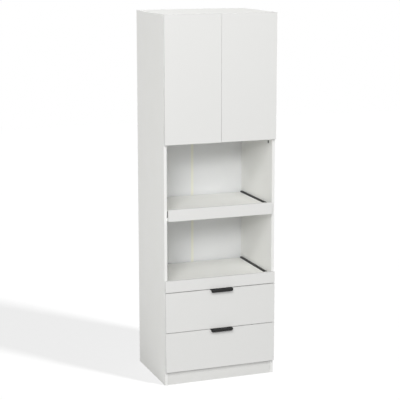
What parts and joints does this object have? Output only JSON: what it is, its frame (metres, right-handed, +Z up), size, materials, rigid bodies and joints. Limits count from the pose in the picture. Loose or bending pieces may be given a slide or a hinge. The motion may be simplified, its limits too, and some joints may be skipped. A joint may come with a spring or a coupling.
{
  "type": "microwave cabinet",
  "caption": "Tall free-standing white microwave cabinet with a two-door cupboard, open bays with pull-out shelves, and drawers with black edge pulls.",
  "frame": {"origin": "on the floor, at the centre of the box that the closed cabinet fills, pulls included", "axes": "+Z up, +X to the right as seen from in front, +Y to the back"},
  "size_m": [0.6, 0.459, 1.89],
  "materials": {
    "white_melamine_board": "white melamine on chipboard, matt",
    "white_lacquered_fronts": "white melamine on chipboard, satin",
    "white_hardboard": "white printed hardboard, matt",
    "ivory_plastic_strip": "extruded plastic, satin",
    "black_plastic_caps": "moulded plastic, satin",
    "black_steel_slides": "black electrophoretic coat, satin",
    "black_powder_coat": "fine-textured powder coat, matt",
    "nickel_hinges": "nickel plate, satin",
    "zinc_fittings": "zinc, as cast or plated",
    "steel_bolts": "zinc-plated steel, bright",
    "clear_buffers": "soft clear plastic"
  },
  "bodies": {
    "carcass": {"side_left_lower": "white_melamine_board", "side_right_lower": "white_melamine_board", "side_left_upper": "white_melamine_board", "side_right_upper": "white_melamine_board", "top_panel": "white_melamine_board", "cupboard_floor": "white_melamine_board", "upper_fixed_shelf": "white_melamine_board", "lower_fixed_shelf": "white_melamine_board", "bottom_panel": "white_melamine_board", "plinth_front": "white_melamine_board", "plinth_rear": "white_melamine_board", "cupboard_shelf": "white_melamine_board", "back_upper": "white_hardboard", "back_lower_left": "white_hardboard", "back_lower_right": "white_hardboard", "back_joint_strip": "ivory_plastic_strip", "cam_locks": "zinc_fittings", "cam_bolts": "steel_bolts", "cam_caps": "black_plastic_caps", "shelf_pins": "steel_bolts", "slide_outer_members": "black_steel_slides", "carcass_screws": "steel_bolts", "hinge_arms": "nickel_hinges", "hinge_plates": "nickel_hinges", "wall_bracket": "zinc_fittings", "door_buffers": "clear_buffers"},
    "link_left": {"hinge_links_left": "nickel_hinges"},
    "door_left": {"door_left": "white_lacquered_fronts", "hinge_cups_left": "nickel_hinges"},
    "link_right": {"hinge_links_right": "nickel_hinges"},
    "door_right": {"door_right": "white_lacquered_fronts", "hinge_cups_right": "nickel_hinges"},
    "pullout_upper_middle": {"pullout_upper_slide_middle": "black_steel_slides"},
    "pullout_upper": {"pullout_upper_slide_inner": "black_steel_slides", "pullout_upper_fixings": "zinc_fittings", "pullout_upper_board": "white_melamine_board", "pullout_upper_apron": "white_lacquered_fronts"},
    "pullout_lower_middle": {"pullout_lower_slide_middle": "black_steel_slides"},
    "pullout_lower": {"pullout_lower_slide_inner": "black_steel_slides", "pullout_lower_fixings": "zinc_fittings", "pullout_lower_board": "white_melamine_board", "pullout_lower_apron": "white_lacquered_fronts"},
    "drawer_upper_middle": {"drawer_upper_slide_middle": "black_steel_slides"},
    "drawer_upper": {"drawer_upper_slide_inner": "black_steel_slides", "drawer_upper_fixings": "zinc_fittings", "drawer_upper_front": "white_lacquered_fronts", "drawer_upper_pull": "black_powder_coat", "drawer_upper_side_left": "white_melamine_board", "drawer_upper_side_right": "white_melamine_board", "drawer_upper_back": "white_melamine_board", "drawer_upper_bottom": "white_hardboard"},
    "drawer_lower_middle": {"drawer_lower_slide_middle": "black_steel_slides"},
    "drawer_lower": {"drawer_lower_slide_inner": "black_steel_slides", "drawer_lower_fixings": "zinc_fittings", "drawer_lower_front": "white_lacquered_fronts", "drawer_lower_pull": "black_powder_coat", "drawer_lower_side_left": "white_melamine_board", "drawer_lower_side_right": "white_melamine_board", "drawer_lower_back": "white_melamine_board", "drawer_lower_bottom": "white_hardboard"}
  },
  "joints": [
    {"name": "link_left_pivot", "type": "hinge", "parent": "carcass", "child": "link_left", "pos_m": [-0.2645, -0.2037, 1.5], "axis": [0, 0, 1], "range_deg": [0, 44.3]},
    {"name": "door_left_pivot", "type": "hinge", "parent": "link_left", "child": "door_left", "pos_m": [-0.2867, -0.201, 1.5], "axis": [0, 0, -1], "range_deg": [0, 139.3]},
    {"name": "link_right_pivot", "type": "hinge", "parent": "carcass", "child": "link_right", "pos_m": [0.2645, -0.2037, 1.5], "axis": [0, 0, -1], "range_deg": [0, 44.3]},
    {"name": "door_right_pivot", "type": "hinge", "parent": "link_right", "child": "door_right", "pos_m": [0.2867, -0.201, 1.5], "axis": [0, 0, 1], "range_deg": [0, 139.3]},
    {"name": "pullout_upper_slide", "type": "slide", "parent": "carcass", "child": "pullout_upper", "axis": [0, -1, 0], "range_m": [0, 0.38]},
    {"name": "pullout_upper_middle_slide", "type": "slide", "parent": "carcass", "child": "pullout_upper_middle", "axis": [0, -1, 0], "range_m": [0, 0.19]},
    {"name": "pullout_lower_slide", "type": "slide", "parent": "carcass", "child": "pullout_lower", "axis": [0, -1, 0], "range_m": [0, 0.38]},
    {"name": "pullout_lower_middle_slide", "type": "slide", "parent": "carcass", "child": "pullout_lower_middle", "axis": [0, -1, 0], "range_m": [0, 0.19]},
    {"name": "drawer_upper_slide", "type": "slide", "parent": "carcass", "child": "drawer_upper", "axis": [0, -1, 0], "range_m": [0, 0.38]},
    {"name": "drawer_upper_middle_slide", "type": "slide", "parent": "carcass", "child": "drawer_upper_middle", "axis": [0, -1, 0], "range_m": [0, 0.19]},
    {"name": "drawer_lower_slide", "type": "slide", "parent": "carcass", "child": "drawer_lower", "axis": [0, -1, 0], "range_m": [0, 0.38]},
    {"name": "drawer_lower_middle_slide", "type": "slide", "parent": "carcass", "child": "drawer_lower_middle", "axis": [0, -1, 0], "range_m": [0, 0.19]}
  ],
  "couplings": [
    {"joint": "link_left_pivot", "follows": "door_left_pivot", "ratio": 0.318},
    {"joint": "link_right_pivot", "follows": "door_right_pivot", "ratio": 0.318},
    {"joint": "pullout_upper_middle_slide", "follows": "pullout_upper_slide", "ratio": 0.5},
    {"joint": "pullout_lower_middle_slide", "follows": "pullout_lower_slide", "ratio": 0.5},
    {"joint": "drawer_upper_middle_slide", "follows": "drawer_upper_slide", "ratio": 0.5},
    {"joint": "drawer_lower_middle_slide", "follows": "drawer_lower_slide", "ratio": 0.5}
  ]
}
